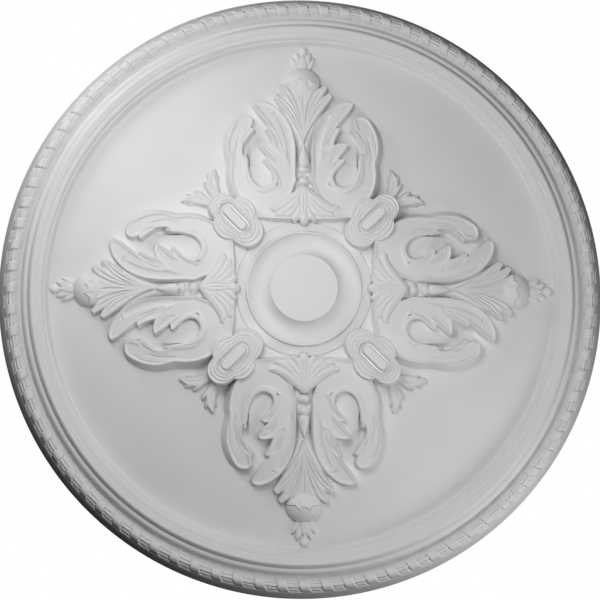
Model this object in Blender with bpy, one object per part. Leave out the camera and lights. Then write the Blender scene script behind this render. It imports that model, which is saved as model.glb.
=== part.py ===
# Moulded ceiling rose: a round relief with a rope rim, four scrolled arms, four
# corner flowers, a pair of small leaves behind each flower, and a round seat for
# a lamp canopy in the middle.
#
# It is modelled as it hangs: the flat back is at z = 0 and faces up, and the
# carved face looks down. Plan positions are worked out face up, with x to the
# right and y away from the viewer, and are turned over at the end.
import math

import bpy
import numpy as np
from mathutils import Vector
from mathutils.geometry import delaunay_2d_cdt

# Sizes in metres.
DIAMETER = 1.380
FIELD_THICKNESS = 0.006
BACK_LIP = 0.004

# Rim, from the outer edge inwards: a sloping side, a rope, a groove, a stepped
# moulding with its highest line on the crest, a lower band, a small bead, and a drop
# to the field.
SIDE_WIDTH = 0.0185
SIDE_HEIGHT = 0.031
ROPE_WIDTH = 0.0275
ROPE_TOP = 0.038
ROPE_INNER_HEIGHT = 0.024
ROPE_REPEATS = 84
ROPE_RELIEF = 0.0045
ROPE_SKEW = 0.30
GROOVE_WIDTH = 0.007
GROOVE_HEIGHT = 0.019
STEP_WIDTH = 0.010
STEP_HEIGHT = 0.036
LEDGE_WIDTH = 0.008
CREST_WIDTH = 0.008
CREST_HEIGHT = 0.043
SLOPE_WIDTH = 0.014
SLOPE_HEIGHT = 0.037
INNER_BAND_WIDTH = 0.009
INNER_BAND_HEIGHT = 0.033
BEAD_WIDTH = 0.005
BEAD_HEIGHT = 0.024
DROP_WIDTH = 0.006

# Middle: the seat, a cove round it, a thin raised ring and a flat band.
SEAT_DIAMETER = 0.152
SEAT_HEIGHT = 0.060
COVE_WIDTH = 0.042
COVE_FLOOR = 0.036
RING_WIDTH = 0.013
RING_HEIGHT = 0.054
BAND_WIDTH = 0.021
BAND_HEIGHT = 0.044
RECESS_HEIGHT = 0.034

# Arms and flowers.
TIP_OVERLAP = 0.004
CROWN_HEIGHT = 0.060
CROWN_SHARE = 0.28
TIP_HEIGHT = 0.010
WALL_WIDTH = 0.007
FLANK_WIDTH = 0.016
DISH_DEPTH = 0.003
BLEND = 0.004
BED_SHARE = 0.62
BASIN_SHARE = 0.66
BASIN_EDGE = 0.012
BUD_HEIGHT = 0.012
DROOP_START = 0.160
DROOP_WIDTH = 0.030
DROOP_DEPTH = 0.012
FRAME_DEPTH = 0.009
FRUIT_HEIGHT = 0.030
FLOWER_RADIUS = 0.222
FLOWER_LENGTH = 0.150
FLOWER_HEIGHT = 0.066
BAR_LENGTH = 0.047
BAR_WIDTH = 0.025
BAR_HEIGHT = 0.013
FRAME_GAP = 0.0065
LEAF_HEIGHT = 0.015

# Facets of the solid.
RING_SIDES = 80
CENTRE_SIDES = 40
POINTS_PER_EIGHTH = 440
SAMPLE_SPACING = 0.0025
FIRST_REACH = 0.014
POINTS_PER_ROUND = 40

FIELD_RADIUS = DIAMETER / 2 - (SIDE_WIDTH + ROPE_WIDTH + GROOVE_WIDTH + STEP_WIDTH + LEDGE_WIDTH
                               + CREST_WIDTH + SLOPE_WIDTH + INNER_BAND_WIDTH + BEAD_WIDTH
                               + DROP_WIDTH)
ARM_REACH = FIELD_RADIUS + TIP_OVERLAP

# Strokes of the arm ornament: (across the arm, outward along it, half width), all in
# thousandths of the arm's reach. Only one half of an arm is listed: it is mirrored.
SCROLL_STROKES = (
    # the leaf beside the fan, from the shoulder out to its tip
    ((62, 430, 36), (56, 498, 31), (57, 558, 31), (72, 619, 37), (100, 668, 43), (138, 710, 40),
     (170, 734, 29), (188, 742, 18)),
    # its second lobe
    ((84, 560, 36), (104, 610, 32), (124, 630, 22), (140, 640, 13)),
    # the shoulder between the two
    ((69, 430, 41), (84, 480, 42), (92, 520, 32)),
    # the scroll under the basin, turning out and up into the outer leaf
    ((62, 450, 33), (70, 399, 36), (103, 364, 45), (155, 349, 48), (210, 364, 46), (249, 399, 46),
     (264, 450, 45), (262, 502, 42)),
    ((264, 490, 38), (276, 553, 42), (270, 605, 46), (248, 648, 46), (224, 671, 30)),
    ((240, 600, 22), (218, 625, 18), (202, 636, 13)),
    # the hook at the inner end of the scroll
    ((222, 450, 12), (226, 498, 11), (229, 536, 10)),
    # the small leaf that curls into the basin, and its second lobe
    ((60, 430, 36), (88, 480, 34), (104, 520, 36), (128, 548, 34), (150, 564, 25), (167, 573, 15)),
    ((100, 470, 26), (132, 496, 24), (154, 509, 14)),
    # the plate between the scrolls and the band round the middle
    ((0, 312, 50), (90, 312, 50), (172, 318, 50)),
)
BED_STROKE = ((0, 330, 56), (0, 440, 44), (0, 540, 30), (0, 600, 36), (0, 680, 66), (0, 735, 92), (0, 780, 78))
BASIN_STROKE = ((168, 440, 66), (166, 520, 62), (168, 580, 58), (180, 630, 40))
COVE_STROKE = ((108, 433, 52), (124, 404, 52), (155, 392, 52), (189, 402, 52), (211, 430, 52))
CRESCENT_STROKE = ((150, 500, 4), (124, 472, 7), (109, 440, 10), (120, 405, 12), (155, 388, 14),
                   (189, 400, 13), (211, 430, 10), (222, 473, 8), (225, 512, 7))
FAN_STROKES = (
    ((0, 584, 7), (0, 632, 24), (0, 687, 48), (0, 730, 68), (0, 773, 62), (0, 820, 50)),
    ((14, 640, 12), (38, 700, 26), (70, 745, 27), (101, 775, 19)),
    ((14, 660, 14), (30, 735, 24), (56, 780, 24), (84, 812, 17)),
)
BUD_STROKE = ((0, 507, 22), (0, 536, 17), (0, 572, 4))
BEADS = ((0, 475, 34, 29), (0, 428, 36, 30))
PALMETTE_STROKES = (
    ((14, 380, 18), (32, 360, 23), (58, 338, 24), (87, 322, 20), (112, 313, 16), (128, 315, 11)),
    ((24, 352, 22), (54, 315, 21), (84, 296, 16), (107, 287, 11)),
    ((22, 335, 20), (44, 303, 17), (66, 286, 11)),
    ((0, 382, 25), (0, 350, 29), (0, 315, 28), (0, 280, 22), (0, 263, 17)),
    ((14, 312, 16), (26, 286, 16), (38, 270, 12)),
)
FRUIT = (0, 838, 70, 62)
FINIAL_CORE = ((0, 897, 33), (0, 936, 24), (0, 962, 10))
FINIAL_SCALES = (
    ((15, 900, 22), (33, 921, 14), (45, 940, 5)),
    ((10, 924, 21), (22, 945, 14), (29, 962, 5)),
    ((0, 907, 21), (0, 933, 15), (0, 954, 4)),
)
FINIAL_BALL = (0, 973, 18, 18)

# A flower's lobes: (across, outward) of the middle, then the two half sizes, from the
# flower's own centre, in thousandths of its length.
LOBES = (
    (0, -190, 272, 352),
    (0, 190, 238, 308),
    (80, 0, 290, 262),
)

# Strokes of a corner leaf, from the flower's centre, in thousandths of its length.
CORNER_STROKES = (
    ((80, 493, 80), (127, 600, 105), (215, 710, 84), (310, 770, 52), (338, 786, 36)),
    ((133, 553, 53), (220, 627, 40), (306, 689, 28)),
    ((147, 667, 53), (187, 747, 47), (216, 812, 28)),
    ((67, 600, 53), (80, 693, 47), (98, 760, 28)),
)


def smooth(x):
    x = np.clip(x, 0.0, 1.0)
    return x * x * (3.0 - 2.0 * x)


def rise(x):
    """A wall that is steep at its foot and rounded at its top."""
    return np.sin(np.clip(x, 0.0, 1.0) * math.pi / 2)


def spline(points, unit, steps=5):
    """A smooth line through the points, each scaled by the unit length."""
    rows = np.array(points, float) * unit
    rows = np.vstack([2 * rows[0] - rows[1], rows, 2 * rows[-1] - rows[-2]])
    line = []
    for before, start, end, after in zip(rows, rows[1:], rows[2:], rows[3:]):
        for k in range(steps):
            t = k / steps
            line.append(0.5 * (2 * start + (end - before) * t
                               + (2 * before - 5 * start + 4 * end - after) * t ** 2
                               + (3 * start - before - 3 * end + after) * t ** 3))
    line.append(rows[-2])
    return np.array(line)


def stroke(across, out, points, unit):
    """Depth inside a stroke's edge, share of its half width, and share of its run."""
    line = spline(points, unit)
    reach = line[:, 2].max() + BLEND
    low = line[:, :2].min(axis=0) - reach
    high = line[:, :2].max(axis=0) + reach
    near = (across > low[0]) & (across < high[0]) & (out > low[1]) & (out < high[1])
    depth = np.full(across.shape, -1.0)
    side = np.zeros(across.shape)
    run = np.zeros(across.shape)
    x = across[near]
    y = out[near]
    best = np.full(x.shape, -1.0)
    best_side = np.zeros(x.shape)
    best_run = np.zeros(x.shape)
    for i, (start, end) in enumerate(zip(line, line[1:])):
        step = end[:2] - start[:2]
        t = np.clip(((x - start[0]) * step[0] + (y - start[1]) * step[1]) / step.dot(step), 0, 1)
        dx = x - start[0] - t * step[0]
        dy = y - start[1] - t * step[1]
        away = np.hypot(dx, dy)
        half = start[2] + (end[2] - start[2]) * t
        better = half - away > best
        best = np.where(better, half - away, best)
        turned = np.sign(step[0] * dy - step[1] * dx)
        best_side = np.where(better, turned * away / half, best_side)
        best_run = np.where(better, (i + t) / (len(line) - 1), best_run)
    depth[near] = best
    side[near] = best_side
    run[near] = best_run
    return depth, side, run


def blended(first, second, width):
    """The larger of two depths, rounded over where they meet."""
    near = np.clip(width - np.abs(first - second), 0, None) / width
    return np.maximum(first, second) + near * near * width / 4


def union(across, out, strokes, unit, width=BLEND):
    """Depth inside the joined outline of several strokes."""
    depth = np.full(across.shape, -1.0)
    for points in strokes:
        depth = blended(depth, stroke(across, out, points, unit)[0], width)
    return depth


def raised(height, depth, surface):
    """The higher of two surfaces, where a point is inside the stroke."""
    return np.where(depth > 0, np.maximum(height, surface), height)


def crown(radius):
    """Height of the arms' top surface, falling evenly from the middle to the finials."""
    start = CROWN_SHARE * ARM_REACH
    share = (radius - start) / (ARM_REACH - start)
    return CROWN_HEIGHT + (TIP_HEIGHT - CROWN_HEIGHT) * share


def scrolls(across, out, height):
    """The plate, the leaves and scrolls on it, and the basins inside the scrolls."""
    unit = ARM_REACH / 1000
    top = crown(np.hypot(across, out))
    stand = top - FIELD_THICKNESS
    depth = union(across, out, SCROLL_STROKES, unit)
    flank = smooth((across / unit - 240) / 50)
    wall = WALL_WIDTH + (FLANK_WIDTH - WALL_WIDTH) * flank
    surface = FIELD_THICKNESS + stand * rise(depth / wall)
    surface = surface - DISH_DEPTH * smooth((depth - wall) / (1.5 * WALL_WIDTH))
    height = raised(height, depth, surface)

    depth, side, run = stroke(across, out, BED_STROKE, unit)
    height = raised(height, depth, FIELD_THICKNESS + BED_SHARE * stand * rise(depth / (2 * WALL_WIDTH)))
    depth, side, run = stroke(across, out, BASIN_STROKE, unit)
    ramp = BASIN_SHARE * smooth((650 - out / unit) / 170)
    height = raised(height, depth, FIELD_THICKNESS + stand * ramp * smooth(depth / BASIN_EDGE))
    depth, side, run = stroke(across, out, COVE_STROKE, unit)
    cove = np.clip(1 - np.abs(side), 0, 1)
    height = raised(height, depth, FIELD_THICKNESS + 0.8 * stand * cove ** 2)
    depth, side, run = stroke(across, out, CRESCENT_STROKE, unit)
    return raised(height, depth, top - DISH_DEPTH + (DISH_DEPTH + 0.001) * rise(depth / 0.005))


def fan_and_finial(across, out, height):
    """The fan of the outer end, the fruit in it, the small finial and the three buds."""
    unit = ARM_REACH / 1000
    top = crown(np.hypot(across, out))
    stand = top - FIELD_THICKNESS
    depth = union(across, out, FAN_STROKES, unit)
    surface = FIELD_THICKNESS + (stand + 0.002) * rise(depth / WALL_WIDTH)
    surface = surface - 0.0015 * smooth((depth - WALL_WIDTH) / 0.020)
    height = raised(height, depth, surface)

    height = dome(across, out, height, FRUIT, unit, FRUIT_HEIGHT)
    depth, side, run = stroke(across, out, BUD_STROKE, unit)
    round_top = np.sqrt(np.clip(1 - side ** 2, 0, 1))
    height = raised(height, depth, top - BUD_HEIGHT * (1 - round_top))
    for bead in BEADS:
        height = dome(across, out, height, bead, unit, stand)

    depth, side, run = stroke(across, out, FINIAL_CORE, unit)
    height = raised(height, depth, FIELD_THICKNESS + 0.6 * TIP_HEIGHT * rise(depth / 0.006))
    for number, points in enumerate(FINIAL_SCALES):
        depth, side, run = stroke(across, out, points, unit)
        stand_off = (0.8 + 0.15 * number) * TIP_HEIGHT
        height = raised(height, depth, FIELD_THICKNESS + stand_off * rise(depth / 0.006))
    return dome(across, out, height, FINIAL_BALL, unit, TIP_HEIGHT)


def palmette(across, out, height):
    """The spread leaf at the inner end of an arm, drooping over the edge of the plate."""
    unit = ARM_REACH / 1000
    top = crown(np.hypot(across, out))
    depth = union(across, out, PALMETTE_STROKES, unit, 0.001)
    droop = DROOP_DEPTH * smooth((DROOP_START - out) / DROOP_WIDTH)
    surface = top - 0.0035 - droop + 0.004 * rise(depth / 0.003) + 0.0055 * rise(depth / 0.014)
    return raised(height, depth, surface)


def arm(across, out, height):
    height = scrolls(across, out, height)
    height = fan_and_finial(across, out, height)
    return palmette(across, out, height)


def dome(across, out, height, oval, unit, top):
    x, y, half_width, half_length = (value * unit for value in oval)
    share = 1 - ((across - x) / half_width) ** 2 - ((out - y) / half_length) ** 2
    return raised(height, share, FIELD_THICKNESS + top * np.sqrt(np.clip(share, 0, 1)))


def flower(across, out, height):
    """Four lobes rising towards a bar in a sunk frame, and the leaves behind them."""
    unit = FLOWER_LENGTH / 1000
    y = out - FLOWER_RADIUS
    inside = np.full(across.shape, -1.0)
    for middle_across, middle_out, half_width, half_length in LOBES:
        u = np.clip(np.abs(across) / unit - middle_across, 0, None) / half_width
        v = np.abs(y / unit - middle_out) / half_length
        share = (u ** 2.3 + v ** 2.3) ** (1 / 2.3)
        inside = np.maximum(inside, (1 - share) * min(half_width, half_length) * unit)
    from_bar = np.hypot(across, np.clip(np.abs(y) - BAR_LENGTH / 2, 0, None)) - BAR_WIDTH / 2
    frame = FRAME_GAP - from_bar
    nested = inside / np.clip(inside - frame, 0.001, None)
    surface = FLOWER_HEIGHT - 0.006 + 0.006 * nested
    surface = FIELD_THICKNESS + (surface - FIELD_THICKNESS) * rise(inside / WALL_WIDTH)
    height = raised(height, inside, surface)
    height = np.where(frame > 0, FLOWER_HEIGHT - FRAME_DEPTH * smooth(frame / 0.004), height)
    bar = FLOWER_HEIGHT - FRAME_DEPTH + BAR_HEIGHT * rise(-from_bar / 0.004)
    height = raised(height, -from_bar, bar)
    leaf = union(across, y, CORNER_STROKES, unit, 0.001)
    return raised(height, leaf, FIELD_THICKNESS + LEAF_HEIGHT * rise(leaf / 0.007))


def rim_profile():
    """(radius, height) of the rim's corners, from the outer edge inwards."""
    steps = (
        (0.0, BACK_LIP), (SIDE_WIDTH, SIDE_HEIGHT), (0.30 * ROPE_WIDTH, ROPE_TOP),
        (0.45 * ROPE_WIDTH, 0.9 * ROPE_TOP), (0.25 * ROPE_WIDTH, ROPE_INNER_HEIGHT),
        (GROOVE_WIDTH, GROOVE_HEIGHT), (STEP_WIDTH, STEP_HEIGHT),
        (LEDGE_WIDTH, STEP_HEIGHT - 0.002), (CREST_WIDTH, CREST_HEIGHT),
        (SLOPE_WIDTH, SLOPE_HEIGHT), (INNER_BAND_WIDTH, INNER_BAND_HEIGHT),
        (0.3 * BEAD_WIDTH, BEAD_HEIGHT), (0.7 * BEAD_WIDTH, BEAD_HEIGHT - 0.001),
        (DROP_WIDTH, FIELD_THICKNESS),
    )
    radius = DIAMETER / 2
    rows = []
    for inward, height in steps:
        radius -= inward
        rows.append((radius, height))
    return rows


def centre_profile():
    """(radius, height) of the middle's corners, from the seat outwards."""
    seat = SEAT_DIAMETER / 2
    fall = SEAT_HEIGHT - COVE_FLOOR
    rows = [(seat, SEAT_HEIGHT)]
    for share in (0.08, 0.25, 0.5):
        rows.append((seat + share * COVE_WIDTH, COVE_FLOOR + fall * (1 - 1.35 * share ** 0.5) ** 2))
    outer = seat + COVE_WIDTH
    rows.append((outer, COVE_FLOOR + 0.35 * (RING_HEIGHT - COVE_FLOOR)))
    rows.append((outer + 0.55 * RING_WIDTH, RING_HEIGHT))
    rows.append((outer + RING_WIDTH, BAND_HEIGHT))
    rows.append((outer + RING_WIDTH + BAND_WIDTH, BAND_HEIGHT - 0.003))
    rows.append((outer + RING_WIDTH + BAND_WIDTH + 0.004, RECESS_HEIGHT))
    return rows


def base(radius):
    """Height of the turned form under the ornament."""
    centre = centre_profile()
    rim = rim_profile()
    recess = centre[-1][0]
    rows = centre + [(recess + 0.030, RECESS_HEIGHT), (recess + 0.060, FIELD_THICKNESS)] + rim[::-1]
    radii, heights = zip(*rows)
    return np.interp(radius, radii, heights)


def rope(radius, angle):
    """Height of the rope over the plain rim: slanting bands with a bead between each two."""
    outer = DIAMETER / 2 - SIDE_WIDTH
    share = (outer - radius) / ROPE_WIDTH
    turn = ROPE_REPEATS * angle / (2 * math.pi) + ROPE_SKEW * (share - 0.5)
    band = np.cos(2 * math.pi * turn)
    inside = smooth(share / 0.15) * smooth((1 - share) / 0.15)
    return ROPE_RELIEF * (band - 0.3) * inside


def relief(x, y):
    """Height of the carved face over the back, everywhere on the plan."""
    radius = np.hypot(x, y)
    height = base(radius)
    outer = DIAMETER / 2 - SIDE_WIDTH
    in_rope = (radius < outer) & (radius > outer - ROPE_WIDTH)
    height = height + np.where(in_rope, rope(radius, np.arctan2(y, x)), 0.0)
    out = np.maximum(np.abs(x), np.abs(y))
    across = np.minimum(np.abs(x), np.abs(y))
    height = arm(across, out, height)
    return flower((out - across) / math.sqrt(2), (out + across) / math.sqrt(2), height)


def ring(radius, sides, phase=0.0):
    angles = (np.arange(sides) + phase) * 2 * math.pi / sides
    return np.column_stack([radius * np.cos(angles), radius * np.sin(angles)])


def joined(rings):
    """Triangles between closed rings of points."""
    points = []
    edges = []
    for loop in rings:
        first = len(points)
        points.extend(map(tuple, loop))
        edges.extend((first + k, first + (k + 1) % len(loop)) for k in range(len(loop)))
    made = delaunay_2d_cdt([Vector(p) for p in points], edges, [], 0, 1e-7)
    plan = np.array([tuple(v) for v in made[0]])
    return plan, np.array(made[2])


def eighth_outline(inner, outer):
    """The border of the eighth between an arm's axis and the diagonal."""
    steps = RING_SIDES // 8
    angles = np.arange(steps + 1) * 2 * math.pi / RING_SIDES
    far = np.column_stack([outer * np.cos(angles), outer * np.sin(angles)])
    near = np.column_stack([inner * np.cos(angles), inner * np.sin(angles)])
    return np.vstack([far, near[::-1]])


def triangles_inside(points, border):
    made = delaunay_2d_cdt([Vector(p) for p in points], [], [list(range(border))], 1, 1e-7)
    return np.array([tuple(v) for v in made[0]]), np.array(made[2])


def facet_heights(plan, faces, values, x, y):
    """Height of a faceted surface at each point."""
    found = np.full(x.shape, np.nan)
    for a, b, c in faces:
        corner = plan[[a, b, c]]
        low = corner.min(axis=0) - 1e-9
        high = corner.max(axis=0) + 1e-9
        near = np.flatnonzero((x >= low[0]) & (x <= high[0]) & (y >= low[1]) & (y <= high[1]))
        (x0, y0), (x1, y1), (x2, y2) = corner
        area = (x1 - x0) * (y2 - y0) - (x2 - x0) * (y1 - y0)
        u = ((x[near] - x0) * (y2 - y0) - (x2 - x0) * (y[near] - y0)) / area
        v = ((x1 - x0) * (y[near] - y0) - (x[near] - x0) * (y1 - y0)) / area
        within = (u >= -1e-6) & (v >= -1e-6) & (u + v <= 1 + 1e-6)
        level = values[a] + u * (values[b] - values[a]) + v * (values[c] - values[a])
        found[near[within]] = level[within]
    return found


def eighth_facets(inner, outer):
    """Facets of one eighth, with a point added where the facets miss the relief most."""
    border = eighth_outline(inner, outer)
    spacing = SAMPLE_SPACING
    along = np.arange(inner, outer, spacing)
    x, y = (grid.ravel() for grid in np.meshgrid(along, np.arange(0, outer, spacing)))
    radius = np.hypot(x, y)
    angle = np.arctan2(y, x)
    edge = math.cos(math.pi / RING_SIDES) * outer
    kept = (angle <= math.pi / 4) & (radius > inner + spacing) & (radius < edge - spacing)
    diagonal = np.arange(inner + 2 * spacing, outer - spacing, spacing) / math.sqrt(2)
    x = np.concatenate([x[kept], diagonal])
    y = np.concatenate([y[kept], diagonal])
    depth = np.abs(x - y) / math.sqrt(2)
    kept = (depth > 0.6 * spacing) | (depth < 1e-9)
    x = x[kept]
    y = y[kept]
    target = relief(x, y)
    points = border
    reach = FIRST_REACH
    while len(points) < POINTS_PER_EIGHTH:
        plan, faces = triangles_inside(points, len(border))
        miss = np.abs(facet_heights(plan, faces, relief(plan[:, 0], plan[:, 1]), x, y) - target)
        miss = np.nan_to_num(miss)
        added = []
        for index in np.argsort(-miss):
            spot = np.array([x[index], y[index]])
            if all(np.hypot(*(spot - other)) > reach for other in added):
                added.append(spot)
            if len(added) == POINTS_PER_ROUND:
                break
        points = np.vstack([points, added])
        reach = max(0.9 * reach, 2.2 * spacing)
    return triangles_inside(points[:POINTS_PER_EIGHTH], len(border))


class Shell:
    """Points and triangles of the piece, with each point kept once."""

    def __init__(self):
        self.places = {}
        self.points = []
        self.faces = []

    def index(self, x, y, z):
        key = (round(x, 6), round(y, 6), round(z, 6))
        if key not in self.places:
            self.places[key] = len(self.points)
            self.points.append((x, y, z))
        return self.places[key]

    def add(self, corners, flipped=False):
        rows = [self.index(*corner) for corner in corners]
        if len(set(rows)) == len(rows):
            self.faces.append(rows[::-1] if flipped else rows)


def add_plan(shell, plan, faces, turn=None):
    """Facets of a plan at the relief's height. turn swaps and mirrors the plan's axes."""
    heights = relief(plan[:, 0], plan[:, 1])
    swap, sign_x, sign_y = turn or (False, 1, 1)
    for face in faces:
        corners = []
        for k in face:
            x, y = plan[k]
            if swap:
                x, y = y, x
            corners.append((sign_x * x, sign_y * y, heights[k]))
        area = ((corners[1][0] - corners[0][0]) * (corners[2][1] - corners[0][1])
                - (corners[2][0] - corners[0][0]) * (corners[1][1] - corners[0][1]))
        shell.add(corners, area < 0)


def build_shell():
    shell = Shell()
    centre = centre_profile()
    rim = rim_profile()
    inner = centre[6][0]
    outer = rim[-1][0]

    rings = [ring(radius, CENTRE_SIDES) for radius, height in centre[:6]] + [ring(inner, RING_SIDES)]
    add_plan(shell, *joined(rings))

    plan, faces = eighth_facets(inner, outer)
    for swap in (False, True):
        for sign_x in (1, -1):
            for sign_y in (1, -1):
                add_plan(shell, plan, faces, (swap, sign_x, sign_y))

    rope_outer = DIAMETER / 2 - SIDE_WIDTH
    rings = [ring(radius, RING_SIDES) for radius, height in rim if radius >= rope_outer
             or radius <= rope_outer - ROPE_WIDTH]
    for share in (0.16, 0.45, 0.84):
        phase = -2 * ROPE_SKEW * (share - 0.5)
        rings.append(ring(rope_outer - share * ROPE_WIDTH, 2 * ROPE_REPEATS, phase))
    plan, faces = joined(rings)
    middle = plan[faces].mean(axis=1)
    add_plan(shell, plan, faces[np.hypot(*middle.T) > outer * math.cos(math.pi / RING_SIDES)])

    edge = ring(DIAMETER / 2, RING_SIDES)
    for (x0, y0), (x1, y1) in zip(edge, np.roll(edge, -1, axis=0)):
        shell.add([(x0, y0, 0.0), (x1, y1, 0.0), (x1, y1, BACK_LIP)])
        shell.add([(x0, y0, 0.0), (x1, y1, BACK_LIP), (x0, y0, BACK_LIP)])
    shell.faces.append([shell.index(x, y, 0.0) for x, y in edge][::-1])
    return shell


def plaster_white():
    material = bpy.data.materials.new("matt_white_primer")
    material.use_nodes = True
    shader = material.node_tree.nodes["Principled BSDF"]
    shader.inputs["Base Color"].default_value = (0.80, 0.80, 0.79, 1.0)
    shader.inputs["Roughness"].default_value = 0.62
    shader.inputs["Metallic"].default_value = 0.0
    return material


def main():
    for item in list(bpy.data.objects):
        bpy.data.objects.remove(item)
    shell = build_shell()
    # Turned over about the x axis, so that the carved face looks down.
    points = [(x, -y, -z) for x, y, z in shell.points]
    mesh = bpy.data.meshes.new("ceiling_rose")
    mesh.from_pydata(points, [], shell.faces)
    mesh.materials.append(plaster_white())
    mesh.shade_smooth()
    mesh.set_sharp_from_angle(angle=math.radians(35))
    rose = bpy.data.objects.new("ceiling_rose", mesh)
    bpy.context.scene.collection.objects.link(rose)


main()
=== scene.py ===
# Looks of the moulded ceiling rose: the carved relief as a fine mesh over the packed
# solid, the primed foam's finish, a pale floor, soft lights and the camera.
#
# The rose hangs face down with its flat back at z = 0. Plan positions are worked
# out face up, with x to the right and y away from the viewer, and turned over
# about the x axis as each mesh is made.
import math

import bpy
import numpy as np
from mathutils import Matrix, Vector
from mathutils.geometry import delaunay_2d_cdt


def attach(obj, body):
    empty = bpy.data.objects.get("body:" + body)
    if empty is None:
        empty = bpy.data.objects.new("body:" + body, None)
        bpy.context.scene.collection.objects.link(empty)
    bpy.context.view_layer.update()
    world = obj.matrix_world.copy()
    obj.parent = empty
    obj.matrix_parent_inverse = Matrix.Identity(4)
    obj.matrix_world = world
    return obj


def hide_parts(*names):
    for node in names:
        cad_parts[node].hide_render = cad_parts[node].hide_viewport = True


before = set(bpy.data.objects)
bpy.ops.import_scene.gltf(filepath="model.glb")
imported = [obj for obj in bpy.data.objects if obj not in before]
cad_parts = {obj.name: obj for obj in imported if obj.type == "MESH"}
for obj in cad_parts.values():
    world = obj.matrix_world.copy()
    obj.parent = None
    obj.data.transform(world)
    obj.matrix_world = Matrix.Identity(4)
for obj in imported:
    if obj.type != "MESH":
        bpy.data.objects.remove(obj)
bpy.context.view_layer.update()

# Sizes in metres. The rim is listed from its outer edge inwards.
DIAMETER = 1.380
FIELD_THICKNESS = 0.006
BACK_LIP = 0.004
BACK_CHAMFER = 0.0008
BACK_CHAMFER_HEIGHT = 0.001
SIDE_WIDTH = 0.0185
ROPE_WIDTH = 0.0275
GROOVE_WIDTH = 0.007
STEP_WIDTH = 0.010
LEDGE_WIDTH = 0.008
CREST_WIDTH = 0.008
SLOPE_WIDTH = 0.014
INNER_BAND_WIDTH = 0.009
BEAD_WIDTH = 0.005
DROP_WIDTH = 0.006

# Middle: the seat, a cove round it, a thin raised ring and a flat band.
SEAT_DIAMETER = 0.152
SEAT_HEIGHT = 0.060
SEAT_STEP = 0.0015
COVE_WIDTH = 0.042
COVE_FLOOR = 0.036
COVE_LOW_SHARE = 0.7
COVE_POWER = 2.3
RING_WIDTH = 0.013
RING_HEIGHT = 0.054
RING_SINK = 0.006
RING_BEAD_PLACE = 0.0035
RING_BEAD_HALF = 0.0028
RING_BEAD_RISE = 0.0025
BAND_WIDTH = 0.021
BAND_HEIGHT = 0.044
BAND_FALL = 0.004
BAND_EDGE = 0.004
RECESS_HEIGHT = 0.034
RECESS_WIDTH = 0.030
RECESS_SLOPE_WIDTH = 0.030

# Arms. Places along and across an arm are thousandths of its reach.
TIP_OVERLAP = 0.004
CROWN_HEIGHT = 0.060
CROWN_SHARE = 0.28
TIP_HEIGHT = 0.010
BLEND = 0.004
WALL_WIDTH = 0.0055
FLANK_WIDTH = 0.016
FLANK_START = 240
FLANK_RUN = 50
DISH_DEPTH = 0.003
DISH_START_SHARE = 0.9
DISH_WIDTH_SHARE = 1.6
BED_SHARE = 0.62
BASIN_SHARE = 0.66
BASIN_END = 650
BASIN_RUN = 170
BASIN_EDGE = 0.012
COVE_SHARE = 0.8
CRESCENT_RISE = 0.001
CRESCENT_EDGE = 0.005
FAN_BLEND = 0.003
FAN_RISE = 0.002
FAN_WALL_SHARE = 0.9
FAN_DISH = 0.0015
FAN_DISH_WIDTH = 0.020
FRUIT_HEIGHT = 0.030
CALYX_RISE = 0.0035
CALYX_TAPER = 0.35
CALYX_FLAT = 0.004
CALYX_EDGE = 832
TOOTH_PLACE = 19
TOOTH_HALF = 15
TOOTH_LENGTH = 18
MIDDLE_TOOTH_HALF = 9
MIDDLE_TOOTH_LENGTH = 6
BUD_HEIGHT = 0.012
FINIAL_EDGE = 0.006
FINIAL_CORE_SHARE = 0.6
SCALE_SHARE = 0.8
SCALE_STEP = 0.15
DROOP_START = 0.160
DROOP_WIDTH = 0.030
DROOP_DEPTH = 0.012
PALMETTE_SINK = 0.0035
PALMETTE_WALL = 0.004
PALMETTE_WALL_WIDTH = 0.003
PALMETTE_ROUND = 0.0055
PALMETTE_ROUND_WIDTH = 0.014

# Corner flowers and the leaves behind them.
FLOWER_RADIUS = 0.222
FLOWER_LENGTH = 0.150
FLOWER_HEIGHT = 0.066
LOBE_POWER = 2.3
LOBE_SINK = 0.008
LOBE_EDGE = 0.005
RIDGE_RISE = 0.0030
RIDGE_POWER = 0.8
RIDGE_STEP = 0.0011
BAR_LENGTH = 0.047
BAR_WIDTH = 0.025
BAR_HEIGHT = 0.013
BAR_EDGE = 0.004
FRAME_GAP = 0.0065
FRAME_DEPTH = 0.009
LEAF_HEIGHT = 0.015
LEAF_EDGE = 0.007
LEAF_BLEND = 0.001

# Depths of the veins, and how fast they fade at their two ends.
SCROLL_VEIN_DEPTH = 0.0028
CURL_VEIN_DEPTH = 0.002
FAN_VEIN_DEPTH = 0.003
PALMETTE_VEIN_DEPTH = 0.0022
CORNER_VEIN_DEPTH = 0.002
START_FADE = 4
END_FADE = 8

# Rope: a slanting ribbon over a core. Turns are shares of one repeat.
ROPE_REPEATS = 84
ROPE_SKEW = 0.26
ROPE_WAVE = 0.03
RIBBON_HALF_TURN = 0.245
RIBBON_EDGE_TURN = 0.05
RIBBON_RISE = 0.0022
CORE_ROUND = 0.0040
CORE_SINK = 0.0048
CORE_DIP = 0.0020
DIP_TURN = 0.34
DIP_EDGE_TURN = 0.07
ROPE_EDGE_SHARE = 0.10

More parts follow.
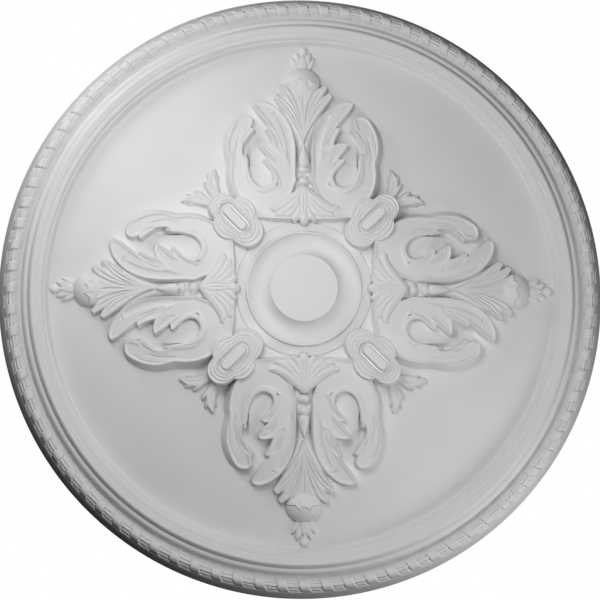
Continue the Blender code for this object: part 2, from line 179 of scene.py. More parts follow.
# Fine mesh.
FINE_SPACING = 0.0013
SPARSE_EVERY = 8
NEAR_STEPS = 3
LEVEL_LIMIT = 0.00005
NORMAL_STEP = 0.0006
ROPE_SIDES = 1680
MOULDING_SIDES = 840
INNER_RING_SIDES = 336
CENTRE_RADIUS = 0.0005
SEAT_START = 0.010
SEAT_EDGE_WIDTH = 0.002
SEAT_ROWS = 6
MIDDLE_ROWS = 64
MOULDING_ROWS = 51
ROPE_ROWS = 23
SIDE_ROWS = 5
# keeps the rope's outermost ring just inside the edge
EDGE_GAP = 1e-6

# Camera, face up: a long lens below and a little left of the middle.
SENSOR_WIDTH = 36.0
CAMERA_LENS = 67.1
CAMERA_PLACE = (-0.1161, -0.3092, 2.5447)
CAMERA_TURN = (-0.11266, 0.04267, -0.00134)

# Room.
FLOOR_LEVEL = -2.75
FLOOR_SIZE = 16.0
ROOM_LIGHT = 0.01

# Soft square lights round the camera's line: name, face-up place, side and power.
LIGHTS = (
    ("light_front_upper_left", (-0.30, 0.30, 1.00), 0.50, 5.10),
    ("light_front_lower_right", (0.30, -0.30, 1.00), 0.50, 2.75),
    ("light_low_upper_left", (-0.86, 0.86, 0.44), 0.34, 2.80),
    ("light_left", (-0.55, 0.44, 0.46), 0.26, 0.30),
    ("light_low_lower_right", (0.86, -0.86, 0.44), 0.34, 2.60),
    ("light_upper_right", (1.22, 1.22, 1.00), 0.70, 1.10),
)
BACK_LIGHT_PLACE = (0.0, 0.0, -1.2)
BACK_LIGHT_SIZE = 1.0
BACK_LIGHT_POWER = 3.0
BACK_LIGHT_SPREAD = 0.5

# Tones of the primed face and of the foam's skin: lighter, darker, and depth of the pores.
FACE_FINISH = ((0.82, 0.82, 0.815), (0.79, 0.79, 0.783), 0.0001)
BACK_FINISH = ((0.80, 0.79, 0.76), (0.74, 0.73, 0.70), 0.0005)

# Worked out from the sizes above.
FIELD_RADIUS = DIAMETER / 2 - (SIDE_WIDTH + ROPE_WIDTH + GROOVE_WIDTH + STEP_WIDTH + LEDGE_WIDTH
                               + CREST_WIDTH + SLOPE_WIDTH + INNER_BAND_WIDTH + BEAD_WIDTH + DROP_WIDTH)
ARM_REACH = FIELD_RADIUS + TIP_OVERLAP
ARM_UNIT = ARM_REACH / 1000
FLOWER_UNIT = FLOWER_LENGTH / 1000
RING_RADIUS = SEAT_DIAMETER / 2 + COVE_WIDTH + RING_WIDTH
BAND_RADIUS = RING_RADIUS + BAND_WIDTH
ROPE_RADIUS = DIAMETER / 2 - SIDE_WIDTH

# Strokes of the arm ornament: (across the arm, outward along it, half width), in
# thousandths of the arm's reach. Only one half of an arm is listed: it is mirrored.
SCROLL_STROKES = (
    # the leaf beside the fan, from the shoulder out to its tip
    ((62, 430, 36), (56, 498, 31), (57, 558, 31), (72, 619, 37), (100, 668, 43), (138, 710, 40),
     (170, 734, 29), (188, 742, 18)),
    # its second lobe
    ((84, 560, 36), (104, 610, 32), (124, 630, 22), (140, 640, 13)),
    # the shoulder between the two
    ((69, 430, 41), (84, 480, 42), (92, 520, 32)),
    # the scroll under the basin, turning out and up into the outer leaf
    ((62, 450, 33), (70, 399, 36), (103, 364, 45), (155, 349, 48), (210, 364, 46), (249, 399, 46),
     (264, 450, 45), (262, 502, 42)),
    ((264, 490, 38), (276, 553, 42), (270, 605, 46), (248, 648, 46), (224, 671, 30)),
    ((240, 600, 22), (218, 625, 18), (202, 636, 13)),
    # the hook at the inner end of the scroll
    ((222, 450, 12), (226, 498, 11), (229, 536, 10)),
    # the small leaf that curls into the basin, and its second lobe
    ((60, 430, 36), (88, 480, 34), (104, 520, 36), (128, 548, 34), (150, 564, 25), (167, 573, 15)),
    ((100, 470, 26), (132, 496, 24), (154, 509, 14)),
    # the plate between the scrolls and the band round the middle
    ((0, 312, 50), (90, 312, 50), (172, 318, 50)),
)
COVE_STROKE = ((108, 433, 52), (124, 404, 52), (155, 392, 52), (189, 402, 52), (211, 430, 52))
BASIN_STROKE = ((168, 440, 66), (166, 520, 62), (168, 580, 58), (180, 630, 40))
CRESCENT_STROKE = ((150, 500, 4), (124, 472, 7), (109, 440, 10), (120, 405, 12), (155, 388, 14),
                   (189, 400, 13), (211, 430, 10), (222, 473, 8), (225, 512, 7))
BED_STROKE = ((0, 330, 56), (0, 440, 44), (0, 540, 30), (0, 600, 36), (0, 680, 66), (0, 735, 92),
              (0, 780, 78))
SCROLL_VEINS = (
    ((247, 660, 2), (270, 643, 4), (285, 605, 5), (289, 567, 5), (285, 524, 2)),
    ((252, 619, 2), (264, 576, 4), (268, 533, 4), (263, 481, 2)),
    ((103, 707, 2), (118, 706, 3), (128, 697, 2)),
    ((112, 704, 3), (92, 682, 13), (70, 640, 17), (56, 590, 17), (50, 530, 15), (48, 470, 5)),
    ((150, 655, 1), (128, 638, 3), (106, 605, 3), (94, 575, 1)),
    ((137, 667, 1), (112, 640, 3), (92, 600, 3), (82, 560, 1)),
    ((196, 640, 1), (218, 632, 3), (236, 606, 3), (246, 570, 1)),
)
CURL_VEINS = (
    ((168, 572, 1), (140, 562, 3), (116, 535, 3), (100, 495, 1)),
    ((158, 556, 1), (136, 545, 3), (117, 520, 3), (106, 490, 1)),
    ((152, 514, 1), (132, 503, 3), (114, 482, 2)),
)
FAN_STROKES = (
    ((0, 584, 7), (0, 632, 24), (0, 687, 48), (0, 730, 68), (0, 773, 62), (0, 820, 50)),
    ((14, 640, 12), (38, 700, 26), (70, 745, 27), (101, 775, 19)),
    ((14, 660, 14), (30, 735, 24), (56, 780, 24), (84, 812, 17)),
)
FAN_VEINS = (
    ((0, 690, 1), (0, 730, 5), (0, 808, 2)),
    ((5, 620, 1), (12, 690, 4), (26, 750, 6), (48, 800, 8), (58, 824, 9)),
    ((9, 640, 1), (22, 700, 4), (44, 755, 5), (76, 806, 3)),
    ((12, 640, 1), (30, 700, 4), (54, 742, 6), (86, 776, 8), (102, 792, 9)),
    ((18, 640, 1), (40, 696, 4), (69, 738, 5), (102, 768, 3)),
    ((5, 660, 1), (15, 720, 4), (34, 775, 5), (52, 814, 3)),
)
BUD_STROKE = ((0, 507, 22), (0, 536, 17), (0, 572, 4))
BEADS = ((0, 475, 34, 29), (0, 428, 36, 30))
PALMETTE_STROKES = (
    ((14, 380, 18), (32, 360, 23), (58, 338, 24), (87, 322, 20), (112, 313, 16), (128, 315, 11)),
    ((24, 352, 22), (54, 315, 21), (84, 296, 16), (107, 287, 11)),
    ((22, 335, 20), (44, 303, 17), (66, 286, 11)),
    ((0, 382, 25), (0, 350, 29), (0, 315, 28), (0, 280, 22), (0, 263, 17)),
    ((14, 312, 16), (26, 286, 16), (38, 270, 12)),
)
PALMETTE_VEINS = (
    ((28, 368, 1), (46, 340, 4), (76, 318, 5), (110, 304, 1)),
    ((20, 350, 1), (40, 322, 4), (68, 300, 4), (96, 288, 1)),
    ((0, 376, 1), (0, 345, 3), (0, 310, 4), (0, 280, 1)),
    ((13, 372, 1), (14, 335, 4), (9, 300, 4), (11, 278, 1)),
)
# Fruit, beads and the finial's ball: middle across and outward, then the two half sizes.
FRUIT = (0, 838, 70, 62)
FINIAL_CORE = ((0, 897, 33), (0, 936, 24), (0, 962, 10))
FINIAL_SCALES = (
    ((15, 900, 22), (33, 921, 14), (45, 940, 5)),
    ((10, 924, 21), (22, 945, 14), (29, 962, 5)),
    ((0, 907, 21), (0, 933, 15), (0, 954, 4)),
)
FINIAL_BALL = (0, 973, 18, 18)

# A flower's lobes: (across, outward) of the middle, then the two half sizes, from the
# flower's own centre, in thousandths of its length.
LOBES = (
    (0, -190, 272, 352),
    (0, 190, 238, 308),
    (80, 0, 290, 262),
)
# Shares of the way from a lobe's edge to the bar's frame where the nested ridges meet.
RIDGE_SHARES = (0.0, 0.30, 0.56, 0.80, 1.01)

# Strokes of a corner leaf, from the flower's centre, in thousandths of its length.
CORNER_STROKES = (
    ((80, 493, 80), (127, 600, 105), (215, 710, 84), (310, 770, 52), (338, 786, 36)),
    ((133, 553, 53), (220, 627, 40), (306, 689, 28)),
    ((147, 667, 53), (187, 747, 47), (216, 812, 28)),
    ((67, 600, 53), (80, 693, 47), (98, 760, 28)),
)
CORNER_VEINS = (
    ((110, 560, 3), (180, 680, 12), (330, 780, 4)),
    ((120, 640, 3), (160, 720, 10), (200, 790, 4)),
)

# Shares of the rope's width, from outside in, that its three strands cover.
ROPE_STRANDS = ((0.0, 0.31), (0.31, 0.60), (0.60, 1.0))

# (radius, height) of the plain rim's corners from its outer edge inwards, in millimetres.
RIM_PROFILE = (
    (690, 4), (689, 6.5), (684, 15), (677, 25), (672.5, 30), (671, 31), (667, 35), (662, 38),
    (657, 38), (651, 35),
    (646.5, 29), (644, 23), (642.6, 20.2), (641, 19.4), (637.6, 19.4), (636.6, 21), (633.5, 31), (631, 35),
    (627.6, 36.4), (623.2, 36), (621.8, 34.4), (620.4, 35.4), (617, 39.6),
    (613.6, 42.3), (611, 43), (608, 41.8),
    (604, 39.6), (601.6, 38.8), (600.6, 37.8), (599.8, 38), (599, 36.4), (598, 35.6), (594, 34.8),
    (590.4, 33.4), (588.8, 32), (587.8, 28.4), (587, 25), (586, 23.4),
    (585, 23.6), (583.8, 24.2), (582.6, 23),
    (581.4, 19.4), (580.2, 14.6), (579, 10.2), (577.8, 7.6), (577, 6),
)


def smooth(x):
    x = np.clip(x, 0.0, 1.0)
    return x * x * (3.0 - 2.0 * x)


def rise(x):
    """A wall that is steep at its foot and rounded at its top."""
    return np.sin(np.clip(x, 0.0, 1.0) * math.pi / 2)


def spline(points, unit, steps=6):
    """A smooth line through the points, each scaled by the unit length."""
    rows = np.array(points, float) * unit
    rows = np.vstack([2 * rows[0] - rows[1], rows, 2 * rows[-1] - rows[-2]])
    line = []
    for before, start, end, after in zip(rows, rows[1:], rows[2:], rows[3:]):
        for k in range(steps):
            t = k / steps
            line.append(0.5 * (2 * start + (end - before) * t
                               + (2 * before - 5 * start + 4 * end - after) * t ** 2
                               + (3 * start - before - 3 * end + after) * t ** 3))
    line.append(rows[-2])
    return np.array(line)


def stroke(across, out, points, unit):
    """Depth inside a stroke's edge, share of its half width, and share of its run."""
    line = spline(points, unit)
    reach = line[:, 2].max() + BLEND
    low = line[:, :2].min(axis=0) - reach
    high = line[:, :2].max(axis=0) + reach
    near = (across > low[0]) & (across < high[0]) & (out > low[1]) & (out < high[1])
    depth = np.full(across.shape, -1.0)
    side = np.zeros(across.shape)
    run = np.zeros(across.shape)
    x = across[near]
    y = out[near]
    best = np.full(x.shape, -1.0)
    best_side = np.zeros(x.shape)
    best_run = np.zeros(x.shape)
    for i, (start, end) in enumerate(zip(line, line[1:])):
        step = end[:2] - start[:2]
        t = np.clip(((x - start[0]) * step[0] + (y - start[1]) * step[1]) / step.dot(step), 0, 1)
        dx = x - start[0] - t * step[0]
        dy = y - start[1] - t * step[1]
        away = np.hypot(dx, dy)
        half = start[2] + (end[2] - start[2]) * t
        better = half - away > best
        best = np.where(better, half - away, best)
        turned = np.sign(step[0] * dy - step[1] * dx)
        best_side = np.where(better, turned * away / half, best_side)
        best_run = np.where(better, (i + t) / (len(line) - 1), best_run)
    depth[near] = best
    side[near] = best_side
    run[near] = best_run
    return depth, side, run


def blended(first, second, width):
    """The larger of two depths, rounded over where they meet."""
    near = np.clip(width - np.abs(first - second), 0, None) / width
    return np.maximum(first, second) + near * near * width / 4


def union(across, out, strokes, unit, width=BLEND):
    """Depth inside the joined outline of several strokes."""
    depth = np.full(across.shape, -1.0)
    for points in strokes:
        depth = blended(depth, stroke(across, out, points, unit)[0], width)
    return depth


def raised(height, depth, surface):
    """The higher of two surfaces, where a point is inside the stroke."""
    return np.where(depth > 0, np.maximum(height, surface), height)


def veins(across, out, height, lines, unit, deep):
    """Round grooves along the lines, fading at both ends."""
    for points in lines:
        depth, side, run = stroke(across, out, points, unit)
        fade = smooth(START_FADE * run) * smooth(END_FADE * (1 - run))
        cut = np.sqrt(np.clip(1 - side ** 2, 0, 1)) * fade
        height = height - deep * np.where(depth > 0, cut, 0)
    return height


def oval_share(across, out, oval, unit):
    """One at an oval's middle, falling to nothing at its edge."""
    x, y, half_width, half_length = (value * unit for value in oval)
    return 1 - ((across - x) / half_width) ** 2 - ((out - y) / half_length) ** 2


def dome(across, out, height, oval, unit, top):
    share = oval_share(across, out, oval, unit)
    return raised(height, share, FIELD_THICKNESS + top * np.sqrt(np.clip(share, 0, 1)))


def crown(across, out):
    """Height of the arms' top surface, falling evenly from the middle to the finials."""
    start = CROWN_SHARE * ARM_REACH
    share = (np.hypot(across, out) - start) / (ARM_REACH - start)
    return CROWN_HEIGHT + (TIP_HEIGHT - CROWN_HEIGHT) * share


def scrolls(across, out, height):
    """The plate, the leaves and scrolls on it, and their veins."""
    stand = crown(across, out) - FIELD_THICKNESS
    depth = union(across, out, SCROLL_STROKES, ARM_UNIT)
    flank = smooth((across / ARM_UNIT - FLANK_START) / FLANK_RUN)
    wall = WALL_WIDTH + (FLANK_WIDTH - WALL_WIDTH) * flank
    surface = FIELD_THICKNESS + stand * rise(depth / wall)
    dish = smooth((depth - DISH_START_SHARE * wall) / (DISH_WIDTH_SHARE * WALL_WIDTH))
    surface = surface - DISH_DEPTH * dish
    surface = veins(across, out, surface, SCROLL_VEINS, ARM_UNIT, SCROLL_VEIN_DEPTH)
    return raised(height, depth, surface)


def basins(across, out, height):
    """The bed between the scrolls, and the basin, cove and crescent inside each scroll."""
    top = crown(across, out)
    stand = top - FIELD_THICKNESS
    depth, side, run = stroke(across, out, BED_STROKE, ARM_UNIT)
    height = raised(height, depth, FIELD_THICKNESS + BED_SHARE * stand * rise(depth / (2 * WALL_WIDTH)))
    depth, side, run = stroke(across, out, BASIN_STROKE, ARM_UNIT)
    ramp = BASIN_SHARE * smooth((BASIN_END - out / ARM_UNIT) / BASIN_RUN)
    height = raised(height, depth, FIELD_THICKNESS + stand * ramp * smooth(depth / BASIN_EDGE))
    depth, side, run = stroke(across, out, COVE_STROKE, ARM_UNIT)
    cove = np.clip(1 - np.abs(side), 0, 1)
    height = raised(height, depth, FIELD_THICKNESS + COVE_SHARE * stand * cove ** 2)
    depth, side, run = stroke(across, out, CRESCENT_STROKE, ARM_UNIT)
    crescent = top - DISH_DEPTH + (DISH_DEPTH + CRESCENT_RISE) * rise(depth / CRESCENT_EDGE)
    height = raised(height, depth, crescent)
    return veins(across, out, height, CURL_VEINS, ARM_UNIT, CURL_VEIN_DEPTH)


def fan(across, out, height):
    stand = crown(across, out) - FIELD_THICKNESS
    depth = union(across, out, FAN_STROKES, ARM_UNIT, FAN_BLEND)
    surface = FIELD_THICKNESS + (stand + FAN_RISE) * rise(depth / (FAN_WALL_SHARE * WALL_WIDTH))
    surface = surface - FAN_DISH * smooth((depth - WALL_WIDTH) / FAN_DISH_WIDTH)
    surface = veins(across, out, surface, FAN_VEINS, ARM_UNIT, FAN_VEIN_DEPTH)
    return raised(height, depth, surface)


def fruit(across, out, height):
    """The fruit in the fan, with a toothed calyx round its inner end."""
    height = dome(across, out, height, FRUIT, ARM_UNIT, FRUIT_HEIGHT)
    place = across / ARM_UNIT
    tooth = TOOTH_LENGTH * np.clip(1 - np.abs(place - TOOTH_PLACE) / TOOTH_HALF, 0, 1)
    middle_tooth = MIDDLE_TOOTH_LENGTH * np.clip(1 - (place / MIDDLE_TOOTH_HALF) ** 2, 0, 1)
    edge = (CALYX_EDGE + tooth + middle_tooth) * ARM_UNIT
    share = oval_share(across, out, FRUIT, ARM_UNIT)
    calyx = FIELD_THICKNESS + FRUIT_HEIGHT * np.sqrt(np.clip(share, 0, 1)) + CALYX_RISE
    calyx = calyx - CALYX_TAPER * np.clip(edge - out - CALYX_FLAT, 0, None)
    inside = (share > 0.05) & (out < edge)
    return np.where(inside, np.maximum(height, calyx), height)


def stem(across, out, height):
    """The bud and the two beads between the scrolls."""
    top = crown(across, out)
    depth, side, run = stroke(across, out, BUD_STROKE, ARM_UNIT)
    round_top = np.sqrt(np.clip(1 - side ** 2, 0, 1))
    height = raised(height, depth, top - BUD_HEIGHT * (1 - round_top))
    for bead in BEADS:
        height = dome(across, out, height, bead, ARM_UNIT, top - FIELD_THICKNESS)
    return height


def finial(across, out, height):
    """The scaled cone at an arm's tip, and the ball on its end."""
    depth, side, run = stroke(across, out, FINIAL_CORE, ARM_UNIT)
    stand = FINIAL_CORE_SHARE * TIP_HEIGHT
    height = raised(height, depth, FIELD_THICKNESS + stand * rise(depth / FINIAL_EDGE))
    for number, points in enumerate(FINIAL_SCALES):
        depth, side, run = stroke(across, out, points, ARM_UNIT)
        stand = (SCALE_SHARE + SCALE_STEP * number) * TIP_HEIGHT
        height = raised(height, depth, FIELD_THICKNESS + stand * rise(depth / FINIAL_EDGE))
    return dome(across, out, height, FINIAL_BALL, ARM_UNIT, TIP_HEIGHT)


def palmette(across, out, height):
    """The spread leaf at the inner end of an arm, drooping over the edge of the plate."""
    depth = union(across, out, PALMETTE_STROKES, ARM_UNIT, LEAF_BLEND)
    surface = crown(across, out) - PALMETTE_SINK
    surface = surface - DROOP_DEPTH * smooth((DROOP_START - out) / DROOP_WIDTH)
    surface = surface + PALMETTE_WALL * rise(depth / PALMETTE_WALL_WIDTH)
    surface = surface + PALMETTE_ROUND * rise(depth / PALMETTE_ROUND_WIDTH)
    surface = veins(across, out, surface, PALMETTE_VEINS, ARM_UNIT, PALMETTE_VEIN_DEPTH)
    return raised(height, depth, surface)


def flower_inside(across, y):
    """Depth inside the joined outline of a flower's four lobes."""
    inside = np.full(across.shape, -1.0)
    for middle_across, middle_out, half_width, half_length in LOBES:
        u = np.clip(np.abs(across) / FLOWER_UNIT - middle_across, 0, None) / half_width
        v = np.abs(y / FLOWER_UNIT - middle_out) / half_length
        share = (u ** LOBE_POWER + v ** LOBE_POWER) ** (1 / LOBE_POWER)
        inside = np.maximum(inside, (1 - share) * min(half_width, half_length) * FLOWER_UNIT)
    return inside


def flower(across, out, height):
    """Ridged lobes rising towards a bar in a sunk frame, and the leaf behind them."""
    y = out - FLOWER_RADIUS
    inside = flower_inside(across, y)
    from_bar = np.hypot(across, np.clip(np.abs(y) - BAR_LENGTH / 2, 0, None)) - BAR_WIDTH / 2
    frame_depth = FRAME_GAP - from_bar
    nested = inside / np.clip(inside - frame_depth, 0.001, None)
    surface = FLOWER_HEIGHT - LOBE_SINK
    for start, end in zip(RIDGE_SHARES, RIDGE_SHARES[1:]):
        local = np.clip((nested - start) / (end - start), 0, 1)
        surface = surface + RIDGE_RISE * np.sin(local * math.pi) ** RIDGE_POWER
        surface = surface + RIDGE_STEP * smooth(local * 2)
    surface = FIELD_THICKNESS + (surface - FIELD_THICKNESS) * rise(inside / LOBE_EDGE)
    height = raised(height, inside, surface)
    sunk = FLOWER_HEIGHT - FRAME_DEPTH * smooth(frame_depth / BAR_EDGE)
    height = np.where(frame_depth > 0, sunk, height)
    bar = FLOWER_HEIGHT - FRAME_DEPTH + BAR_HEIGHT * rise(-from_bar / BAR_EDGE)
    height = raised(height, -from_bar, bar)
    leaf = union(across, y, CORNER_STROKES, FLOWER_UNIT, LEAF_BLEND)
    surface = FIELD_THICKNESS + LEAF_HEIGHT * rise(leaf / LEAF_EDGE)
    surface = veins(across, y, surface, CORNER_VEINS, FLOWER_UNIT, CORNER_VEIN_DEPTH)
    return raised(height, leaf, surface)


def middle(radius):
    """Height of the turned middle: seat, cove, thin raised ring and band."""
    seat = SEAT_DIAMETER / 2
    low = seat + COVE_LOW_SHARE * COVE_WIDTH
    ring_foot = RING_HEIGHT - RING_SINK
    inside = np.clip((low - radius) / (low - seat), 0, 1)
    height = COVE_FLOOR + (SEAT_HEIGHT - SEAT_STEP - COVE_FLOOR) * inside ** COVE_POWER
    outside = np.clip((radius - low) / (RING_RADIUS - BAND_EDGE - low), 0, 1)
    height = height + (ring_foot - COVE_FLOOR) * outside ** 2
    height = np.where(radius < seat, SEAT_HEIGHT, height)
    bead = np.clip(1 - ((radius - RING_RADIUS + RING_BEAD_PLACE) / RING_BEAD_HALF) ** 2, 0, 1)
    height = np.where(bead > 0, np.maximum(height, ring_foot + RING_BEAD_RISE * np.sqrt(bead)), height)
    band = BAND_HEIGHT - BAND_FALL * np.clip((radius - RING_RADIUS) / BAND_WIDTH, 0, 1)
    height = np.where(radius > RING_RADIUS, band, height)
    drop = smooth((radius - BAND_RADIUS) / BAND_EDGE)
    return np.where(radius > BAND_RADIUS, band + (RECESS_HEIGHT - band) * drop, height)


def base(radius):
    """Height of the turned form under the ornament."""
    recess = BAND_RADIUS + BAND_EDGE
    rows = [(recess, RECESS_HEIGHT), (recess + RECESS_WIDTH, RECESS_HEIGHT),
            (recess + RECESS_WIDTH + RECESS_SLOPE_WIDTH, FIELD_THICKNESS)]
    rows.extend((radius_mm / 1000, height_mm / 1000) for radius_mm, height_mm in reversed(RIM_PROFILE))
    radii, heights = zip(*rows)
    return np.where(radius < recess, middle(radius), np.interp(radius, radii, heights))


def rope(radius, angle):
    """Change of the plain rim's height by a slanting ribbon wound round a core of strands."""
    share = (ROPE_RADIUS - radius) / ROPE_WIDTH
    wave = ROPE_WAVE * np.sin(2 * math.pi * share)
    turn = ROPE_REPEATS * angle / (2 * math.pi) + ROPE_SKEW * (share - 0.5) + wave
    away = np.abs(turn - np.round(turn))
    ribbon = smooth((RIBBON_HALF_TURN - away) / RIBBON_EDGE_TURN)
    strand = 0
    for start, end in ROPE_STRANDS:
        off = (2 * share - start - end) / (end - start)
        strand = np.maximum(strand, np.sqrt(np.clip(1 - off ** 2, 0, 1)))
    core = CORE_ROUND * strand - CORE_SINK - CORE_DIP * smooth((DIP_TURN - away) / DIP_EDGE_TURN)
    edge = smooth(share / ROPE_EDGE_SHARE) * smooth((1 - share) / ROPE_EDGE_SHARE)
    return np.where((share > 0) & (share < 1), edge * (core + (RIBBON_RISE - core) * ribbon), 0.0)


def relief(x, y):
    """Height of the carved face over the back, everywhere on the plan."""
    radius = np.hypot(x, y)
    height = base(radius) + rope(radius, np.arctan2(y, x))
    out = np.maximum(np.abs(x), np.abs(y))
    across = np.minimum(np.abs(x), np.abs(y))
    for form in (scrolls, basins, fan, fruit, stem, finial, palmette):
        height = form(across, out, height)
    return flower((out - across) / math.sqrt(2), (out + across) / math.sqrt(2), height)


def turned_over(points):
    """Points worked out face up, as they hang."""
    return np.asarray(points) * (1.0, -1.0, -1.0)


def surface_normals(x, y):
    """Directions square to the relief, face up."""
    step = NORMAL_STEP
    slope_x = (relief(x + step, y) - relief(x - step, y)) / (2 * step)
    slope_y = (relief(x, y + step) - relief(x, y - step)) / (2 * step)
    normals = np.column_stack([-slope_x, -slope_y, np.ones(len(x))])
    return normals / np.linalg.norm(normals, axis=1)[:, None]


def make_piece(name, points, faces, normals=None):
    """A mesh object from face-up points, hung and riding on the rose."""
    mesh = bpy.data.meshes.new(name)
    mesh.from_pydata(turned_over(points), [], [list(map(int, face)) for face in faces])
    mesh.shade_smooth()
    if normals is not None:
        mesh.normals_split_custom_set_from_vertices(turned_over(normals))
    piece = bpy.data.objects.new(name, mesh)
    bpy.context.scene.collection.objects.link(piece)
    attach(piece, "root")
    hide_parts("ceiling_rose")
    return piece


def relief_piece(name, plan, faces):
    x, y = plan.T
    heights = relief(x, y)
    return make_piece(name, np.column_stack([x, y, heights]), faces, surface_normals(x, y))


def ring_points(radius, angles):
    return np.column_stack([radius * np.cos(angles), radius * np.sin(angles)])


def ring_grid(radii, columns):
    """Plan points and four-sided faces between closed rings, listed from the middle outwards."""
    angles = np.arange(columns) * 2 * math.pi / columns
    plan = np.vstack([ring_points(radius, angles) for radius in radii])
    faces = []
    for row in range(len(radii) - 1):
        inner = row * columns
        outer = inner + columns
        for k in range(columns):
            n = (k + 1) % columns
            faces.append((inner + k, outer + k, outer + n, inner + n))
    return plan, faces


def eighth_border(inner, outer):
    """The outline of the eighth between an arm's axis and the diagonal."""
    far_steps = MOULDING_SIDES // 8
    near_steps = INNER_RING_SIDES // 8
    far = np.arange(far_steps + 1) * math.pi / 4 / far_steps
    near = np.arange(near_steps + 1)[::-1] * math.pi / 4 / near_steps
    return np.vstack([ring_points(outer, far), ring_points(inner, near)])


def near_relief(x, y):
    """True where the relief changes within a few steps of a point."""
    changes = np.zeros(len(x), bool)
    level = relief(x, y)
    reach = NEAR_STEPS * FINE_SPACING
    for turn in range(8):
        dx = reach * math.cos(turn * math.pi / 4)
        dy = reach * math.sin(turn * math.pi / 4)
        changes |= np.abs(relief(x + dx, y + dy) - level) > LEVEL_LIMIT
    return changes


def eighth_mesh(inner, outer):
    """Triangles of one eighth, close together on the ornament and sparse on the field."""
    along = np.arange(math.ceil(inner / math.sqrt(2) / FINE_SPACING) + 1, outer / FINE_SPACING)
    columns, rows = (grid.ravel() for grid in np.meshgrid(along, np.arange(outer / FINE_SPACING)))
    x = columns * FINE_SPACING
    y = rows * FINE_SPACING
    radius = np.hypot(x, y)
    kept = (rows <= columns) & (radius > inner + 0.4 * FINE_SPACING) & (radius < outer - 0.6 * FINE_SPACING)
    x = x[kept]
    y = y[kept]
    sparse = (columns[kept] % SPARSE_EVERY == 0) & (rows[kept] % SPARSE_EVERY == 0)
    kept = near_relief(x, y) | sparse
    border = eighth_border(inner, outer)
    points = np.vstack([border, np.column_stack([x[kept], y[kept]])])
    made = delaunay_2d_cdt([Vector(p) for p in points], [], [list(range(len(border)))], 1, 1e-8)
    return np.array([tuple(v) for v in made[0]]), np.array(made[2])


def arm_quarter(name, eighth, faces, turn):
    """One arm with the halves of the flowers on either side of it, turned to its place."""
    count = len(eighth)
    plan = np.vstack([eighth, eighth * (1, -1)])
    both = np.vstack([faces, faces[:, ::-1] + count])
    on_axis = np.abs(eighth[:, 1]) < 1e-9
    target = np.arange(2 * count)
    target[count:][on_axis] = np.flatnonzero(on_axis)
    used, both = np.unique(target[both], return_inverse=True)
    plan = plan[used]
    cos, sin = ((1, 0), (0, 1), (-1, 0), (0, -1))[turn]
    plan = np.column_stack([cos * plan[:, 0] - sin * plan[:, 1], sin * plan[:, 0] + cos * plan[:, 1]])
    return relief_piece(name, plan, both.reshape(-1, 3))


def between(start, end, count):
    return np.linspace(start, end, count, endpoint=False)


def middle_piece():
    seat_edge = SEAT_DIAMETER / 2 - SEAT_EDGE_WIDTH
    radii = np.concatenate([[CENTRE_RADIUS], between(SEAT_START, seat_edge, SEAT_ROWS),
                            between(seat_edge, RING_RADIUS, MIDDLE_ROWS), [RING_RADIUS]])
    plan, faces = ring_grid(radii, INNER_RING_SIDES)
    faces.append(tuple(range(INNER_RING_SIDES)))
    return relief_piece("middle", plan, faces)


def rim_pieces():
    """The stepped moulding, and the rope with the sloping side outside it."""
    rope_inner = ROPE_RADIUS - ROPE_WIDTH
    radii = np.concatenate([between(FIELD_RADIUS, rope_inner, MOULDING_ROWS), [rope_inner]])
    moulding = relief_piece("rim_moulding", *ring_grid(radii, MOULDING_SIDES))
    radii = np.concatenate([between(rope_inner, ROPE_RADIUS, ROPE_ROWS),
                            between(ROPE_RADIUS, DIAMETER / 2, SIDE_ROWS), [DIAMETER / 2 - EDGE_GAP]])
    return [moulding, relief_piece("rope", *ring_grid(radii, ROPE_SIDES))]


def back_piece():
    """The flat back, its small chamfer and the straight lip under the rim."""
    plan, faces = ring_grid((DIAMETER / 2 - BACK_CHAMFER, DIAMETER / 2, DIAMETER / 2), ROPE_SIDES)
    heights = np.repeat((0.0, BACK_CHAMFER_HEIGHT, BACK_LIP), ROPE_SIDES)
    faces.append(tuple(range(ROPE_SIDES))[::-1])
    back = make_piece("back", np.column_stack([plan, heights]), faces)
    back.data.set_sharp_from_angle(angle=math.radians(40))
    return back


def texture(material, kind, settings):
    """A procedural texture fixed to the object, with its settings."""
    nodes = material.node_tree.nodes
    place = nodes.new("ShaderNodeTexCoord")
    made = nodes.new(kind)
    for name, value in settings.items():
        made.inputs[name].default_value = value
    material.node_tree.links.new(place.outputs["Object"], made.inputs["Vector"])
    return made


def bump(material, height, strength, distance):
    """Unevenness of the surface that follows a texture's output."""
    made = material.node_tree.nodes.new("ShaderNodeBump")
    made.inputs["Strength"].default_value = strength
    made.inputs["Distance"].default_value = distance
    material.node_tree.links.new(height, made.inputs["Height"])
    return made


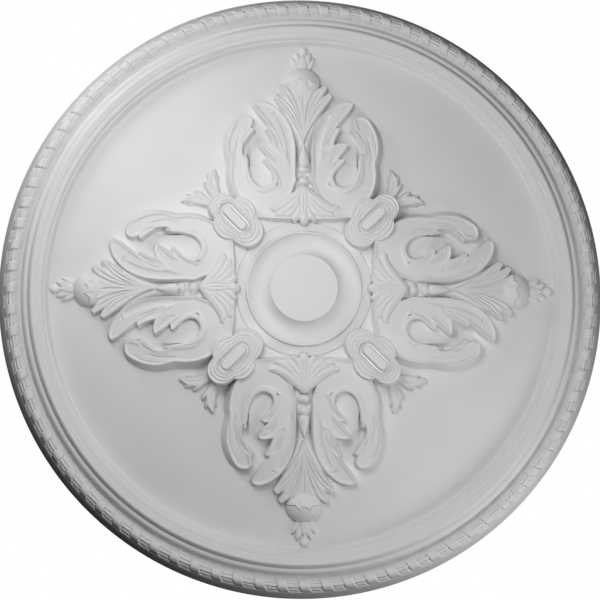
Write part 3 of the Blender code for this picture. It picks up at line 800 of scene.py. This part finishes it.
def primed_foam(name, light_tone, dark_tone, pore_depth):
    """A matt primer over moulded foam: slow tone changes, fine pores and a faint unevenness."""
    material = bpy.data.materials.new(name)
    material.use_nodes = True
    nodes = material.node_tree.nodes
    links = material.node_tree.links
    shader = nodes["Principled BSDF"]

    tone = texture(material, "ShaderNodeTexNoise", {"Scale": 5.0, "Detail": 6.0, "Roughness": 0.6})
    colours = nodes.new("ShaderNodeValToRGB")
    dark, light = colours.color_ramp.elements
    dark.position = 0.3
    dark.color = (*dark_tone, 1)
    light.position = 0.7
    light.color = (*light_tone, 1)
    links.new(tone.outputs["Fac"], colours.inputs["Fac"])
    links.new(colours.outputs["Color"], shader.inputs["Base Color"])

    sheen = nodes.new("ShaderNodeMapRange")
    sheen.inputs["To Min"].default_value = 0.55
    sheen.inputs["To Max"].default_value = 0.70
    links.new(tone.outputs["Fac"], sheen.inputs["Value"])
    links.new(sheen.outputs["Result"], shader.inputs["Roughness"])

    uneven = texture(material, "ShaderNodeTexNoise", {"Scale": 38.0, "Detail": 4.0})
    soft_bump = bump(material, uneven.outputs["Fac"], 0.35, 0.0008)
    pores = texture(material, "ShaderNodeTexVoronoi", {"Scale": 520.0})
    pore_bump = bump(material, pores.outputs["Distance"], 0.4, pore_depth)
    links.new(soft_bump.outputs["Normal"], pore_bump.inputs["Normal"])
    links.new(pore_bump.outputs["Normal"], shader.inputs["Normal"])
    return material


def build_pieces():
    pieces = [middle_piece()]
    eighth, faces = eighth_mesh(RING_RADIUS, FIELD_RADIUS)
    for turn, name in enumerate(("arm_right", "arm_top", "arm_left", "arm_bottom")):
        pieces.append(arm_quarter(name, eighth, faces, turn))
    pieces.extend(rim_pieces())
    face_material = primed_foam("matt_white_primer_fine", *FACE_FINISH)
    for piece in pieces:
        piece.data.materials.append(face_material)
    back_piece().data.materials.append(primed_foam("foam_skin_of_the_back", *BACK_FINISH))


def hung_rotation(rotation):
    """A camera rotation worked out face up, as the rose hangs."""
    return Matrix.Rotation(math.pi, 3, "X") @ rotation


def soft_light(name, place, size, power, spread=math.pi):
    """A square light at a face-up place, aimed at the middle of the rose."""
    data = bpy.data.lights.new(name, "AREA")
    data.size = size
    data.energy = power
    data.spread = spread
    light = bpy.data.objects.new(name, data)
    bpy.context.scene.collection.objects.link(light)
    spot = Vector(turned_over(place))
    light.matrix_world = Matrix.LocRotScale(spot, (-spot).to_track_quat("-Z", "Y"), None)
    light.visible_camera = False


def surroundings():
    """A white backdrop to the eye, and a dimmer even light on the rose."""
    world = bpy.data.worlds.new("white_room")
    world.use_nodes = True
    nodes = world.node_tree.nodes
    links = world.node_tree.links
    lit = nodes["Background"]
    lit.inputs["Color"].default_value = (1.0, 1.0, 1.0, 1.0)
    lit.inputs["Strength"].default_value = ROOM_LIGHT
    seen = nodes.new("ShaderNodeBackground")
    seen.inputs["Color"].default_value = (1.0, 1.0, 1.0, 1.0)
    seen.inputs["Strength"].default_value = 1.0
    path = nodes.new("ShaderNodeLightPath")
    mix = nodes.new("ShaderNodeMixShader")
    links.new(path.outputs["Is Camera Ray"], mix.inputs["Fac"])
    links.new(lit.outputs["Background"], mix.inputs[1])
    links.new(seen.outputs["Background"], mix.inputs[2])
    links.new(mix.outputs["Shader"], nodes["World Output"].inputs["Surface"])
    bpy.context.scene.world = world


def floor():
    """A pale floor under the hung rose."""
    half = FLOOR_SIZE / 2
    mesh = bpy.data.meshes.new("floor")
    mesh.from_pydata([(-half, -half, FLOOR_LEVEL), (half, -half, FLOOR_LEVEL),
                      (half, half, FLOOR_LEVEL), (-half, half, FLOOR_LEVEL)], [], [(0, 1, 2, 3)])
    material = bpy.data.materials.new("pale_floor")
    material.use_nodes = True
    shader = material.node_tree.nodes["Principled BSDF"]
    shader.inputs["Base Color"].default_value = (0.80, 0.80, 0.80, 1.0)
    shader.inputs["Roughness"].default_value = 0.8
    mesh.materials.append(material)
    plane = bpy.data.objects.new("floor", mesh)
    bpy.context.scene.collection.objects.link(plane)


def camera():
    data = bpy.data.cameras.new("camera")
    data.lens = CAMERA_LENS
    data.sensor_width = SENSOR_WIDTH
    eye = bpy.data.objects.new("camera", data)
    bpy.context.scene.collection.objects.link(eye)
    turn = Vector(CAMERA_TURN)
    rotation = Matrix.Rotation(turn.length, 3, turn.normalized()).transposed()
    place = Vector(turned_over(CAMERA_PLACE))
    eye.matrix_world = Matrix.LocRotScale(place, hung_rotation(rotation).to_quaternion(), None)
    bpy.context.scene.camera = eye


build_pieces()
surroundings()
floor()
camera()
for name, place, size, power in LIGHTS:
    soft_light(name, place, size, power)
soft_light("light_behind", BACK_LIGHT_PLACE, BACK_LIGHT_SIZE, BACK_LIGHT_POWER, BACK_LIGHT_SPREAD)
bpy.context.scene.view_settings.view_transform = "Standard"
